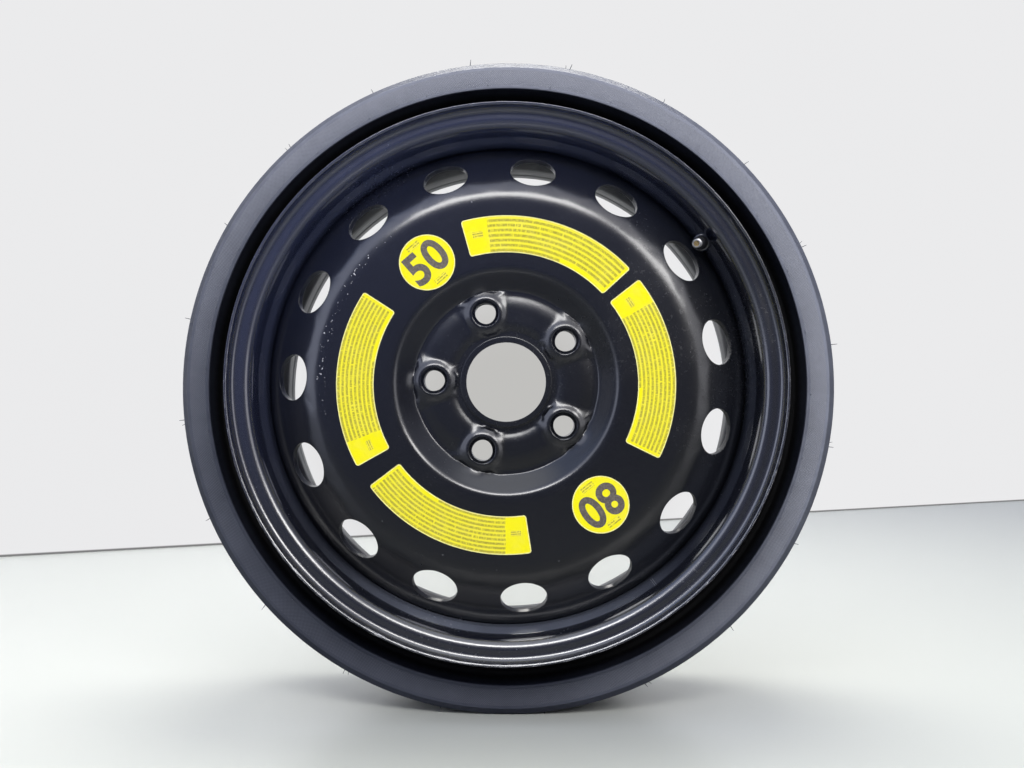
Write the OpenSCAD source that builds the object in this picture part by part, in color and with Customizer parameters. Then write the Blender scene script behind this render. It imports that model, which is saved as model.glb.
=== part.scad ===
// Folding spare wheel: a pressed steel disc in a rolled steel rim, with a deflated
// folding tyre, a snap-in valve and six adhesive labels.
// The wheel stands upright: spin axis along Y, origin at the wheel centre, outer face to -Y.
// Every section is drawn with X as the radius and Y as the distance outboard of the centre plane.

/* [Rim] */
// distance between the two flanges
rim_w = 165.1; // [120:0.1:220]
// bead seat diameter
seat_d = 457.2; // [400:0.1:520]
// rim sheet thickness
rim_t = 3; // [2:0.1:5]
// height of the flange over the bead seat
flange_h = 18; // [15:0.1:20]
// outer radius of the flange curl
flange_r = 9.5; // [8:0.1:11]
// how far the curl turns past its crest
flange_over = 25; // [5:1:45]
// distance from flange to hump crest
hump_at = 20.5; // [18:0.5:26]
// height of the hump over the bead seat
hump_h = 1.4; // [0.8:0.1:2.5]
// depth of the seat that holds the disc under the bead seat
disc_drop = 9.1; // [7:0.1:16]
// depth of the well under the bead seat
well_drop = 17.1; // [16:0.1:24]

/* [Disc] */
// disc sheet thickness
disc_t = 5; // [3:0.1:8]
// distance of the hub face from the centre plane
offset = 53; // [20:0.5:70]
// centre bore diameter
bore_d = 71.6; // [55:0.1:90]
// height of the rolled collar over the hub face
collar_h = 9.5; // [6:0.5:14]
// bolt circle diameter
bolt_pcd = 130; // [100:0.1:150]
// number of wheel bolts
bolt_count = 5; // [4:1:6]
// bolt hole diameter
bolt_d = 18.6; // [12:0.1:22]
// radius of the spherical bolt seat
ball_r = 14; // [12:0.5:16]
// height of the raised bolt seats
boss_h = 2.6; // [1:0.1:5]
// lift of the bolt ring over the hub face
ring_lift = 2; // [0.5:0.1:4]
// height of the crown over the hub face
crown_h = 19.5; // [10:0.5:30]
// radius where the crown begins
crown_in = 101.5; // [95:0.5:110]
// bend radius from the crown into the vented wall
crown_bend = 40; // [9:1:45]
// radial width of the vented wall
wall_w = 44.5; // [38:0.5:52]
// slope of the vented wall
wall_slope = 30; // [25:1:35]

/* [Vents] */
// number of vents
vent_count = 15; // [10:1:20]
// vent width along the rim
vent_w = 42; // [30:0.5:50]
// vent height down the wall
vent_h = 33; // [20:0.5:36]
// distance of the vent centres from the crown's edge
vent_in = 19.8; // [17:0.1:22]

/* [Turning] */
// angle of the first bolt and the first vent
bolt_phase = 34.7; // [0:0.1:72]
// angle of the valve
valve_phase = 35.6; // [0:0.1:360]

/* [Tyre] */
// height of the folded tyre over the bead seat
tyre_h = 67.4; // [60:0.1:75]
// distance of the folded shoulder inboard of the flange
shoulder_back = 18.55; // [14:0.05:24]
// width of the flat side ring
ring_w = 27.5; // [22:0.5:32]
// wall thickness of the folded carcass
wall_t = 6.4; // [5:0.1:8]
// depth of the tread grooves
groove_d = 5; // [2:0.5:7]
// width of the tread grooves
groove_w = 7; // [4:0.5:10]
// length of the moulding hairs at the shoulder
hair_l = 8; // [3:0.5:12]
// diameter of the moulding hairs
hair_d = 0.9; // [0.6:0.1:1.5]

/* [Valve] */
// tilt of the valve toward the wheel axis
valve_tilt = 22; // [18:1:26]
// distance of the valve face's middle inside the disc seat
valve_in = 2; // [1.5:0.1:3.5]
// distance of the valve face inboard of the flange
valve_back = 22.55; // [21:0.05:24]
// diameter of the flat face pressed round the valve
pocket_d = 21; // [20:0.5:22]
// diameter of the valve hole
valve_hole_d = 11.3; // [11:0.1:16]
// length of the rubber body over the face
rubber_l = 20; // [12:0.5:30]
// diameter of the metal stem
stem_d = 7.7; // [7:0.1:8.5]
// length of bare stem over the rubber
stem_l = 10.5; // [6:0.5:14]
// travel of the core pin
pin_travel = 1.3; // [0.5:0.1:2]
// running clearance of the core pin
pin_clear = 0.08; // [0.03:0.01:0.1]

/* [Labels] */
// label thickness
label_t = 0.2; // [0.1:0.05:0.5]
// distance of the arc labels from the crown's edge
label_edge = 21.1; // [14:0.1:24]
// width of the arc labels
label_w = 33.6; // [25:0.1:40]
// sideways offset of the hand-laid arc labels
label_dx = -0.3; // [-3:0.1:3]
// downward offset of the hand-laid arc labels
label_dy = -1.9; // [-4:0.1:3]
// corner radius of the arc labels
label_c = 2.5; // [1:0.1:5]
// diameter of the round labels
dot_d = 50.6; // [40:0.1:60]
// distance of the upper round label's middle from the crown's edge
dot_upper = 44.2; // [30:0.1:46]
// distance of the lower round label's middle from the crown's edge
dot_lower = 35; // [30:0.1:46]

/* [Hidden] */
$fn = 96;
round_fn = 180;
half_w = rim_w / 2;
seat_r = seat_d / 2;
disc_seat_r = seat_r - disc_drop;
well_r = seat_r - well_drop;
tyre_r = seat_r + tyre_h;
ring_r = tyre_r - ring_w;
shoulder_w = half_w - shoulder_back;
valve_r = disc_seat_r - valve_in;
valve_y = half_w - valve_back;
disc_lift = offset + disc_t / 2;
crown_y = offset + crown_h - disc_t / 2;
face_y = crown_y + disc_t / 2;
disc_edge = disc_seat_r - disc_t / 2;
crown_out = disc_edge - wall_w;
vent_at = crown_out + vent_in;
label_out = crown_out - label_edge;
label_in = label_out - label_w;
wall_drop = (disc_edge - crown_out) * tan(wall_slope);
disc_end = 22;
pocket_t = 2.4;
pocket_in = valve_r - pocket_d / 2 * cos(valve_tilt);
pocket_low = valve_y - pocket_d / 2 * sin(valve_tilt);

// Folded sheet and ribbon outlines

function unit(v) = v / norm(v);
function flat(p) = [p[0], p[1]];
function left(v) = [-v[1], v[0]];
function heading(p, i) = unit(flat(p[i + 1]) - flat(p[i]));
function turn(a, b) = atan2(a[0] * b[1] - a[1] * b[0], a * b);

// points along one side of a path with rounded corners, each point being [x, y, bend radius]
function side_at(p, i, s) =
    i == 0 ? [flat(p[0]) + s * left(heading(p, 0))]
    : i == len(p) - 1 ? [flat(p[i]) + s * left(heading(p, i - 1))]
    : let (
        a = heading(p, i - 1),
        t = turn(a, heading(p, i)),
        c = flat(p[i]) - p[i][2] * tan(abs(t) / 2) * a + sign(t) * p[i][2] * left(a),
        n = max(2, ceil(abs(t) / 11)),
        r = p[i][2] - sign(t) * s,
        f = atan2(a[1], a[0]) - sign(t) * 90
    ) [for (k = [0 : n]) c + r * [cos(f + t * k / n), sin(f + t * k / n)]];
function side(p, s) = [for (i = [0 : len(p) - 1]) each side_at(p, i, s)];
function backwards(v) = [for (i = [len(v) - 1 : -1 : 0]) v[i]];

module ribbon(p, t) {
    polygon(concat(side(p, t / 2), backwards(side(p, -t / 2))));
}

module revolve(angle = 360) {
    rotate([90, 0, 0])
        rotate_extrude(angle = angle, $fn = round_fn)
            children();
}

// a place on the wheel's front: radius, angle seen from the front, distance outboard
module on_wheel(r, a, y) {
    rotate([90, 0, 0])
        rotate(a)
            translate([r, 0, y])
                children();
}

// Rim

lip_mid = flange_r - rim_t / 2;
lip_c = [seat_r + flange_h - flange_r, half_w + flange_r];
lip_reach = lip_mid * tan((90 + flange_over) / 2) + 0.3;
lip_x = half_w + rim_t / 2;
lip_peak = lip_c[0] + lip_mid * (cos(flange_over) + sin(flange_over) * tan((90 + flange_over) / 2));
seat_mid = seat_r - rim_t / 2;
seat_drop = tan(5);

function seat_line(y) = seat_mid - (half_w - y) * seat_drop;

rim_half = [
    [lip_peak - lip_reach * sin(flange_over), lip_x + lip_reach * cos(flange_over), 0],
    [lip_peak, lip_x, lip_mid],
    [seat_line(lip_x), lip_x, 8],
    [seat_line(half_w - hump_at + 3), half_w - hump_at + 3, 5],
    [seat_line(half_w - hump_at) + hump_h, half_w - hump_at, 4]
];
rim_path = concat(
    rim_half,
    [
        [disc_seat_r + rim_t / 2, half_w - hump_at - 8, 8],
        [disc_seat_r + rim_t / 2, 14, 8],
        [well_r + rim_t / 2, 3, 8],
        [well_r + rim_t / 2, -8, 8],
        [seat_line(half_w - hump_at) - 0.6, -26, 10],
        [seat_line(half_w - hump_at) - 0.6, -half_w + hump_at + 5, 5]
    ],
    [for (p = backwards(rim_half)) [p[0], -p[1], p[2]]]
);

module on_valve() {
    on_wheel(valve_r, valve_phase, valve_y)
        rotate([0, -valve_tilt, 0])
            children();
}

module rim_barrel() {
    color("#23262e")
        difference() {
            union() {
                revolve()
                    ribbon(rim_path, rim_t);
                intersection() {
                    on_valve()
                        translate([0, 0, -30])
                            cylinder(d = pocket_d, h = 30);
                    revolve()
                        polygon([
                            [pocket_in - 20, pocket_low + 20],
                            [disc_seat_r + rim_t - 0.1, pocket_low + pocket_in - disc_seat_r - rim_t + 0.1],
                            [disc_seat_r + rim_t - 0.1, half_w - hump_at - 8],
                            [seat_line(half_w - hump_at) + 1.4, half_w - hump_at - 1],
                            [seat_line(half_w - hump_at) + 1.4, half_w - 12],
                            [pocket_in - 20, half_w - 5]
                        ]);
                }
            }
            intersection() {
                on_valve()
                    translate([0, 0, -30 - pocket_t])
                        cylinder(d = pocket_d - 3.2, h = 30);
                revolve()
                    polygon([
                        [pocket_in - 20, pocket_low + 20 + 1.4 * pocket_t],
                        [pocket_in + 30, pocket_low - 30 + 1.4 * pocket_t],
                        [pocket_in + 30, half_w],
                        [pocket_in - 20, half_w]
                    ]);
            }
            on_valve()
                translate([0, 0, -pocket_t - 1])
                    cylinder(d = valve_hole_d, h = pocket_t + 1.4);
        }
}

// Disc

disc_path = [
    [bore_d / 2 + disc_t / 2, offset + collar_h, 0],
    [bore_d / 2 + disc_t / 2, disc_lift, 3.2],
    [47, disc_lift, 5],
    [53, disc_lift + ring_lift, 7],
    [69.5, disc_lift + ring_lift, 14],
    [79, disc_lift, 6],
    [crown_in - 17, disc_lift, 6],
    [crown_in, crown_y, 9],
    [crown_out, crown_y, crown_bend],
    [disc_edge, crown_y - wall_drop, 10],
    [disc_edge, disc_end, 0]
];

module vent() {
    y = crown_y - (vent_at - crown_out) * tan(wall_slope);
    on_wheel(vent_at, 0, y)
        rotate([0, wall_slope, 0])
            translate([0, 0, -2 * disc_t])
                linear_extrude(4 * disc_t)
                    scale([vent_h / vent_w, 1])
                        circle(d = vent_w, $fn = 48);
}

module disc() {
    top = offset + disc_t + ring_lift;
    color("#1d2027")
        difference() {
            union() {
                revolve() {
                    ribbon(disc_path, disc_t);
                    translate([bore_d / 2, offset + 1.5])
                        square([disc_t, collar_h - 1.5]);
                }
                for (i = [0 : bolt_count - 1])
                    on_wheel(bolt_pcd / 2, bolt_phase + i * 360 / bolt_count, top - 3)
                        cylinder(r1 = 17.5, r2 = 13.6, h = 3 + boss_h);
            }
            for (i = [0 : bolt_count - 1])
                on_wheel(bolt_pcd / 2, bolt_phase + i * 360 / bolt_count, 0) {
                    cylinder(d = bolt_d, h = 2 * offset);
                    translate([0, 0, top + boss_h + ball_r / 2])
                        sphere(r = ball_r);
                }
            for (i = [0 : vent_count - 1])
                rotate([0, -bolt_phase - i * 360 / vent_count, 0])
                    vent();
        }
}

// four fillet welds on the hidden side of the disc
module disc_welds() {
    leg = 4.5;
    color("#2b2e35")
        for (i = [0 : 3])
            rotate([0, -i * 90 - 20, 0])
                revolve(50)
                    polygon([
                        [disc_seat_r, disc_end],
                        [disc_seat_r - leg, disc_end],
                        [disc_seat_r, disc_end - leg]
                    ]);
}

// Tyre

seat_gap = 0.05;
fold_in = shoulder_w - 31;
crease = 4.6;
bead_w = 17;
bead_x = half_w - seat_gap;
wall_out = ring_r - 16;
wall_in = wall_out - wall_t + 0.5;
fold_bend = (ring_r + wall_t - wall_in - 11.9) / 1.95;
tread_in = tyre_r - 11;

tyre_skin = [
    [tyre_r, -0.5, 0],
    [tyre_r, shoulder_w - 7.5, 5],
    [tyre_r - 6, shoulder_w - 2, 3],
    [ring_r, shoulder_w, 2.5],
    [ring_r - 1, fold_in, crease / 2.2],
    [ring_r - 1 - crease, fold_in, crease / 2.2],
    [wall_out, shoulder_w - 2, 7],
    [seat_r + 15.5, half_w - 1.2, 5],
    [seat_r + 11, bead_x, 5],
    [seat_r + seat_gap, bead_x, 7],
    [seat_r + seat_gap - bead_w * seat_drop, half_w - bead_w, 0]
];
tyre_lining = [
    [seat_r + seat_gap - bead_w * seat_drop, half_w - bead_w, 0],
    [seat_r + 8, half_w - bead_w, 4],
    [seat_r + 11.5, half_w - 9.5, 1.8],
    [wall_in, shoulder_w - 4.5, 5],
    [wall_in + 10.9, fold_in - wall_t, fold_bend],
    [ring_r + wall_t - 1, fold_in - wall_t, fold_bend],
    [ring_r + wall_t, shoulder_w - 15, 3.2],
    [tread_in, shoulder_w - 15, 3.2],
    [tread_in, -0.5, 0]
];

module tyre_section() {
    difference() {
        union()
            for (m = [0, 1])
                mirror([0, m])
                    polygon(concat(side(tyre_skin, 0), side(tyre_lining, 0)));
        for (s = [-1, 0, 1])
            translate([tyre_r - groove_d, s * shoulder_w / 2 - groove_w / 2])
                square([2 * groove_d, groove_w]);
    }
}

module tyre() {
    color("#2b3040") {
        revolve()
            tyre_section();
        for (i = [0 : 19])
            on_wheel(tyre_r - 2, 6.6 + i * 18, shoulder_w - 12)
                rotate([0, 90, 0])
                    cylinder(d = hair_d, h = hair_l, $fn = 16);
        for (i = [0 : 29])
            on_wheel(ring_r + 6, 9.5 + i * 12, shoulder_w - 1)
                cylinder(d = hair_d, h = 3.2, $fn = 16);
    }
}

// Valve

module valve_rubber() {
    color("#15161a")
        on_valve()
            difference() {
                union() {
                    translate([0, 0, -pocket_t - 2.6])
                        cylinder(r1 = 4.8, r2 = 6.4, h = 2.6);
                    translate([0, 0, -pocket_t - 0.1])
                        cylinder(d = valve_hole_d - 0.04, h = pocket_t + 0.2);
                    cylinder(r = 6.4, h = 4);
                    translate([0, 0, 4])
                        cylinder(r1 = 6.4, r2 = 5.8, h = rubber_l - 6);
                    translate([0, 0, rubber_l - 2])
                        cylinder(r1 = 5.8, r2 = 4.6, h = 2);
                }
                translate([0, 0, -6])
                    cylinder(d = stem_d - 0.8, h = rubber_l + 7);
            }
}

module valve_stem() {
    top = rubber_l + stem_l;
    color("#b9bbbd")
        on_valve()
            difference() {
                union() {
                    translate([0, 0, -3])
                        cylinder(d = stem_d - 0.8, h = rubber_l + 4);
                    translate([0, 0, rubber_l + 0.5])
                        cylinder(d = stem_d, h = stem_l - 1.1);
                    translate([0, 0, top - 0.6])
                        cylinder(r1 = stem_d / 2, r2 = stem_d / 2 - 0.6, h = 0.6);
                }
                for (i = [0 : 8])
                    translate([0, 0, top - 1.6 - i * 0.9])
                        difference() {
                            cylinder(d = stem_d + 2, h = 0.4);
                            translate([0, 0, -1])
                                cylinder(d = stem_d - 0.8, h = 3);
                        }
                translate([0, 0, -4])
                    cylinder(r = 1.6, h = top + 6);
                translate([0, 0, top - 12])
                    cylinder(r = 2.6, h = 14);
            }
}

module core_housing() {
    top = rubber_l + stem_l - 1.4;
    color("#c9a85e")
        on_valve()
            difference() {
                translate([0, 0, top - 9])
                    cylinder(r = 2.6, h = 9);
                translate([0, 0, top - 10])
                    cylinder(r = 0.75 + pin_clear, h = 12);
                translate([0, 0, top - 8])
                    cylinder(r = 1.9, h = 5.5);
                translate([-3, -0.5, top - 1.4])
                    cube([1.6, 1, 2]);
                translate([1.4, -0.5, top - 1.4])
                    cube([1.6, 1, 2]);
            }
}

module core_pin() {
    top = rubber_l + stem_l - 0.5;
    color("#d8c48a")
        on_valve() {
            translate([0, 0, top - 16])
                cylinder(r = 0.75, h = 15.7);
            translate([0, 0, top - 0.4])
                cylinder(r1 = 0.75, r2 = 0.45, h = 0.4);
            translate([0, 0, top - 11.5])
                cylinder(r = 1.35, h = 1.5);
        }
}

// closed rings stand for the turns of the core spring
module core_spring() {
    top = rubber_l + stem_l - 1.4;
    color("#8d9094")
        on_valve()
            for (i = [0 : 4])
                translate([0, 0, top - 7.6 + i * 1.1])
                    rotate_extrude($fn = 32)
                        translate([1.35, 0])
                            circle(d = 0.4, $fn = 16);
}

// Labels

function arc_at(c, r, a, b, n) =
    [for (k = [0 : n]) c + r * [cos(a + (b - a) * k / n), sin(a + (b - a) * k / n)]];
function spot(r, a) = r * [cos(a), sin(a)];

module arc_label(a0, a1) {
    r0 = label_in + label_c;
    r1 = label_out - label_c;
    in_a = asin(label_c / r0);
    out_a = asin(label_c / r1);
    color("#ece81c")
        on_wheel(0, 0, face_y)
            translate([label_dx, label_dy])
                linear_extrude(label_t)
                    polygon(concat(
                        arc_at(spot(r1, a0 + out_a), label_c, a0 + out_a - 90, a0 + out_a, 5),
                        arc_at([0, 0], label_out, a0 + 2 * out_a, a1 - 2 * out_a, 30),
                        arc_at(spot(r1, a1 - out_a), label_c, a1 - out_a, a1 - out_a + 90, 5),
                        arc_at(spot(r0, a1 - in_a), label_c, a1 - in_a + 90, a1 - in_a + 180, 5),
                        arc_at([0, 0], label_in, a1 - 2 * in_a, a0 + 2 * in_a, 30),
                        arc_at(spot(r0, a0 + in_a), label_c, a0 + in_a + 180, a0 + in_a + 270, 5)
                    ));
}

module label_top() { arc_label(42.5, 105.5); }
module label_left() { arc_label(147, 209.3); }
module label_bottom() { arc_label(217, 278.8); }
module label_right() { arc_label(333.8, 398); }

module round_label(r, a) {
    color("#ece81c")
        on_wheel(r, a, face_y)
            cylinder(d = dot_d, h = label_t);
}

module label_round_upper() { round_label(crown_out - dot_upper, 123.5); }
module label_round_lower() { round_label(crown_out - dot_lower, 307.5); }

tyre();
rim_barrel();
disc();
disc_welds();
valve_rubber();
valve_stem();
core_housing();
core_pin();
core_spring();
label_top();
label_left();
label_bottom();
label_right();
label_round_upper();
label_round_lower();
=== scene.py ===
# Folding spare wheel, dressed over its construction model
import bpy
import bmesh
import math
import random
from mathutils import Matrix, Vector, noise


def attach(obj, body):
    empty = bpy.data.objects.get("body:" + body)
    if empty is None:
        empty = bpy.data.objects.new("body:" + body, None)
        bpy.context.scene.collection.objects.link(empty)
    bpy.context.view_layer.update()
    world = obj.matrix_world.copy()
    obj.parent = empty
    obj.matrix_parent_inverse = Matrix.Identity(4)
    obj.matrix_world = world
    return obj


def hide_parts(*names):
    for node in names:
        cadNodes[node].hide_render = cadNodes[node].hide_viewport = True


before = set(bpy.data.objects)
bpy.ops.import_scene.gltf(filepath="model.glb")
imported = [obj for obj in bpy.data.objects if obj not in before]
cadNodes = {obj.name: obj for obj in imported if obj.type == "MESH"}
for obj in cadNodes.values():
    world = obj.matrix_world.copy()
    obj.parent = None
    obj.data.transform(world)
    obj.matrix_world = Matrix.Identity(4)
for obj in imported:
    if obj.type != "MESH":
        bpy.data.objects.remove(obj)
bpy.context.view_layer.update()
scene = bpy.context.scene
chance = random.Random(11)
mm = 0.001  # shapes are given in millimetres, shader masks in metres
print("frame loaded")

# camera, a hand camera held a little below the hub and about 0.85 m from it
cameraSet = {"lens": 33.05, "distance": 0.85, "right": 1.134, "below": 3.218, "aim": (0, -0.0595, 0),
             "shift": (0.00572, -0.0019)}
lensData = bpy.data.cameras.new("wheelCamera")
lensData.lens = cameraSet["lens"]
lensData.sensor_width = 36
lensData.shift_x, lensData.shift_y = cameraSet["shift"]
camera = bpy.data.objects.new("wheelCamera", lensData)
scene.collection.objects.link(camera)
aim = Vector(cameraSet["aim"])
swing = math.radians(cameraSet["right"])
drop = math.radians(cameraSet["below"])
away = Vector((math.sin(swing) * math.cos(drop), -math.cos(swing) * math.cos(drop), -math.sin(drop)))
camera.location = aim + away * cameraSet["distance"]
camera.rotation_mode = "QUATERNION"
camera.rotation_quaternion = (-away).to_track_quat("-Z", "Y")
scene.camera = camera


# shader maths on sockets
class Wire:
    def __init__(self, finish, socket):
        self.finish = finish
        self.socket = socket

    def to(self, kind, *others):
        return self.finish.node("ShaderNodeMath", {"operation": kind}, [self, *others])

    def back(self, kind, first):
        return self.finish.node("ShaderNodeMath", {"operation": kind}, [first, self])

    def __add__(self, other):
        return self.to("ADD", other)

    def __sub__(self, other):
        return self.to("SUBTRACT", other)

    def __mul__(self, other):
        return self.to("MULTIPLY", other)

    def __truediv__(self, other):
        return self.to("DIVIDE", other)

    def __radd__(self, other):
        return self.back("ADD", other)

    def __rsub__(self, other):
        return self.back("SUBTRACT", other)


class Finish:
    def __init__(self, name, **fixed):
        self.material = bpy.data.materials.new(name)
        self.material.use_nodes = True
        self.tree = self.material.node_tree
        self.surface = self.tree.nodes["Principled BSDF"]
        self.object = self.node("ShaderNodeTexCoord", out="Object")
        for key, value in fixed.items():
            self.surface.inputs[key.replace("_", " ")].default_value = value

    def node(self, kind, settings=None, values=(), out=0):
        made = self.tree.nodes.new(kind)
        for key, value in (settings or {}).items():
            if key == "stops":
                for stop, (place, shade) in zip(made.color_ramp.elements, value):
                    stop.position = place
                    stop.color = (*shade, 1)
            else:
                setattr(made, key, value)
        pairs = values.items() if isinstance(values, dict) else enumerate(values)
        for key, value in pairs:
            if isinstance(value, Wire):
                self.tree.links.new(value.socket, made.inputs[key])
            else:
                made.inputs[key].default_value = value
        return Wire(self, made.outputs[out])

    def noise(self, scale, detail, rough, place=None):
        return self.node("ShaderNodeTexNoise", None,
                         {"Vector": place or self.object, "Scale": scale, "Detail": detail, "Roughness": rough})

    def ramp(self, wire, *stops):
        return self.node("ShaderNodeValToRGB", {"stops": stops}, [wire])

    def step(self, wire, low, high, start=0.0, end=1.0):
        return self.node("ShaderNodeMapRange", {"interpolation_type": "SMOOTHSTEP"},
                         [wire, low, high, start, end])

    def blend(self, mask, under, over):
        under = (*under, 1) if isinstance(under, tuple) else under
        over = (*over, 1) if isinstance(over, tuple) else over
        return self.node("ShaderNodeMix", {"data_type": "RGBA"}, {0: mask, 6: under, 7: over}, 2)

    def split(self, wire):
        made = self.tree.nodes.new("ShaderNodeSeparateXYZ")
        self.tree.links.new(wire.socket, made.inputs[0])
        return [Wire(self, made.outputs[i]) for i in range(3)]

    def join(self, x, y, z):
        return self.node("ShaderNodeCombineXYZ", None, [x, y, z])

    def polar(self):  # radius from the axle, angle seen from the front, distance outboard
        x, y, z = self.split(self.object)
        radius = (x * x + z * z).to("SQRT")
        return radius, z.to("ARCTAN2", x), 0 - y

    def bump(self, height, distance, strength):
        return self.node("ShaderNodeBump", None, {"Height": height, "Distance": distance, "Strength": strength})

    def feed(self, **wires):
        for key, wire in wires.items():
            self.tree.links.new(wire.socket, self.surface.inputs[key.replace("_", " ")])
        return self.material


# sheet sections: corners are (radius, distance outboard, bend radius) in millimetres
def sidePoints(corners, side=0.0, step=8.0):
    flat = [Vector(c[:2]) for c in corners]
    points = []
    for i, here in enumerate(flat):
        before = (here - flat[i - 1]).normalized() if i else None
        after = (flat[i + 1] - here).normalized() if i + 1 < len(flat) else None
        if before is None or after is None:
            line = after or before
            points.append(here + side * Vector((-line.y, line.x)))
            continue
        bend = math.atan2(before.x * after.y - before.y * after.x, before.dot(after))
        sign = 1 if bend > 0 else -1
        size = corners[i][2]
        middle = here - before * size * math.tan(abs(bend) / 2) + sign * size * Vector((-before.y, before.x))
        count = max(2, math.ceil(abs(math.degrees(bend)) / step))
        start = math.atan2(before.y, before.x) - sign * math.pi / 2
        for k in range(count + 1):
            turn = start + bend * k / count
            points.append(middle + (size - sign * side) * Vector((math.cos(turn), math.sin(turn))))
    return points


def onWheel(radius, angle, out):
    turn = math.radians(angle)
    return Vector((radius * math.cos(turn), -out, radius * math.sin(turn))) * mm


def spinSection(bm, points, steps):  # turns a closed section once round the axle
    made = [bm.verts.new(onWheel(p.x, 0, p.y)) for p in points]
    outline = [bm.edges.new(pair) for pair in zip(made, made[1:] + made[:1])]
    bmesh.ops.spin(bm, geom=made + outline, cent=(0, 0, 0), axis=(0, -1, 0), angle=math.tau,
                   steps=steps, use_merge=True)
    bmesh.ops.remove_doubles(bm, verts=bm.verts[:], dist=1e-6)
    bmesh.ops.recalc_face_normals(bm, faces=bm.faces[:])


def makePiece(name, bm, body, material, stands, crisp=38.0):  # crisp is the least sharp edge in degrees
    mesh = bpy.data.meshes.new(name)
    bm.to_mesh(mesh)
    bm.free()
    made = bpy.data.objects.new(name, mesh)
    scene.collection.objects.link(made)
    mesh.materials.append(material)
    mesh.shade_smooth()
    mesh.set_sharp_from_angle(angle=math.radians(crisp))
    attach(made, body)
    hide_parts(*stands)
    return made


def addSmoothing(made, bevel):
    rounder = made.modifiers.new("rounder", "BEVEL")
    rounder.width = bevel
    rounder.segments = 2
    rounder.limit_method = "ANGLE"
    rounder.angle_limit = math.radians(50)
    finer = made.modifiers.new("finer", "SUBSURF")
    finer.levels = finer.render_levels = 1


# finishes
def ringMask(f, wire, low, high, soft):
    return f.step(wire, low - soft, low) * f.step(wire, high, high + soft, 1.0, 0.0)


def steelPaint(name, shade, wear):
    f = Finish(name, Roughness=0.2, IOR=2.15 if wear == "lip" else 1.75)
    radius, angle, out = f.polar()
    haze = f.step(f.noise(7, 4, 0.6), 0.45, 0.72)
    dust = f.step(f.noise(300, 3, 0.65), 0.56, 0.78) * (0.2 + haze * 0.8)
    speck = f.step(f.noise(1500, 1, 0.5), 0.7, 0.75) * f.step(f.noise(38, 2, 0.5), 0.5, 0.62)
    x, z = f.split(f.object)[::2]
    # painted sheen: the black paint is tinted blue towards the upper left, standing in for the reflection of the
    # bluish room light; a third as strong on the crown
    paintedSkySheen = f.step(z * 0.8 - x * 0.45, -0.06, 0.26) * (0.75 + haze * 0.25)
    colour = f.blend(paintedSkySheen * (0.35 if wear == "crown" else 1.0), shade, (0.022, 0.029, 0.074))
    colour = f.blend(dust * 0.16, colour, (0.035, 0.038, 0.046))
    colour = f.blend(speck * 0.25, colour, (0.16, 0.16, 0.17))
    if wear == "lip":  # scraped edge of the flange, worst at the bottom, and the rim's butt weld
        # painted glow: the bed of the well next to the disc gets a pale blue band, strongest at the bottom of the
        # wheel and furthest inboard, standing in for the reflection of light from above
        bed = ringMask(f, radius, 0.2175, 0.2288, 0.0012) * ringMask(f, out, 0.018, 0.0605, 0.002)
        paintedBedGlow = f.step(z, -0.221, -0.15, 1.0, 0.12) * (0.6 + haze * 0.4) * f.step(out, 0.02, 0.058, 1.0, 0.5)
        colour = f.blend(bed * paintedBedGlow, colour, (0.21, 0.23, 0.285))
        scrape = f.step(f.noise(1.0, 4, 0.7, f.join(angle * 16, radius * 1600, out * 700)), 0.55, 0.68)
        low = f.step(angle.to("SINE"), -0.95, 0.4, 1.0, 0.18)
        crest = ringMask(f, out, 0.0925, 0.11, 0.0012) * ringMask(f, radius, 0.2425, 0.26, 0.0006)
        chips = scrape * crest * low
        seam = ringMask(f, angle, -0.9405, -0.9325, 0.0012) - ringMask(f, angle, -0.9385, -0.9345, 0.0008)
        chips = chips.to("MAXIMUM", seam * ringMask(f, out, 0.05, 0.062, 0.001) * 0.12)
    else:  # chips along the crown's edge, in three stretches
        stretch = f.step(f.noise(1.0, 2, 0.5, f.join(angle * 2.1, 3.3, 0)), 0.44, 0.6)
        crest = ringMask(f, radius, 0.1625, 0.1685, 0.0015) * ringMask(f, out, 0.066, 0.08, 0.001)
        left = f.step(0 - x / radius, 0.6, 0.7) * f.step(z / radius, -0.3, -0.1)
        chips = f.step(f.noise(400, 2, 0.6) + left * 0.055, 0.71, 0.735) * crest * stretch.to("MAXIMUM", left)
        rub = f.step(f.noise(1.0, 3, 0.7, f.join(angle * 30, radius * 900, out * 900)), 0.6, 0.75)
        colour = f.blend(rub * ringMask(f, radius, 0.1, 0.118, 0.004) * 0.1, colour, (0.1, 0.1, 0.11))
    colour = f.blend(chips, colour, (0.5, 0.5, 0.52))
    rough = 0.2 + haze * 0.07 + dust * 0.2 + chips * 0.35
    peel = f.noise(260, 2, 0.5) * 0.6 + f.noise(60, 2, 0.5) * 1.5
    return f.feed(Base_Color=colour, Roughness=rough, Normal=f.bump(peel - chips * 0.6, 0.00025, 0.22))


def backPaint():  # thin, dusty paint on the hidden side of the barrel, its grey raised as painted light for light that falls on the barrel from behind
    f = Finish("rimBack", Roughness=0.5, IOR=1.42)
    cloud = f.step(f.noise(16, 5, 0.65), 0.35, 0.7)
    turned = f.noise(1.0, 3, 0.6, f.join(0.5, 2.0, f.polar()[2] * 900))
    # painted light: this mid grey stands in for light reaching the inboard barrel from behind, with dusty clouds
    # over it
    colour = f.blend(cloud, (0.10, 0.104, 0.118), (0.17, 0.175, 0.19))
    colour = f.blend(f.step(turned, 0.5, 0.62) * 0.55, colour, (0.045, 0.047, 0.056))
    return f.feed(Base_Color=colour, Roughness=0.3 + cloud * 0.2, Normal=f.bump(f.noise(400, 3, 0.6), 0.0001, 0.3))


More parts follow.
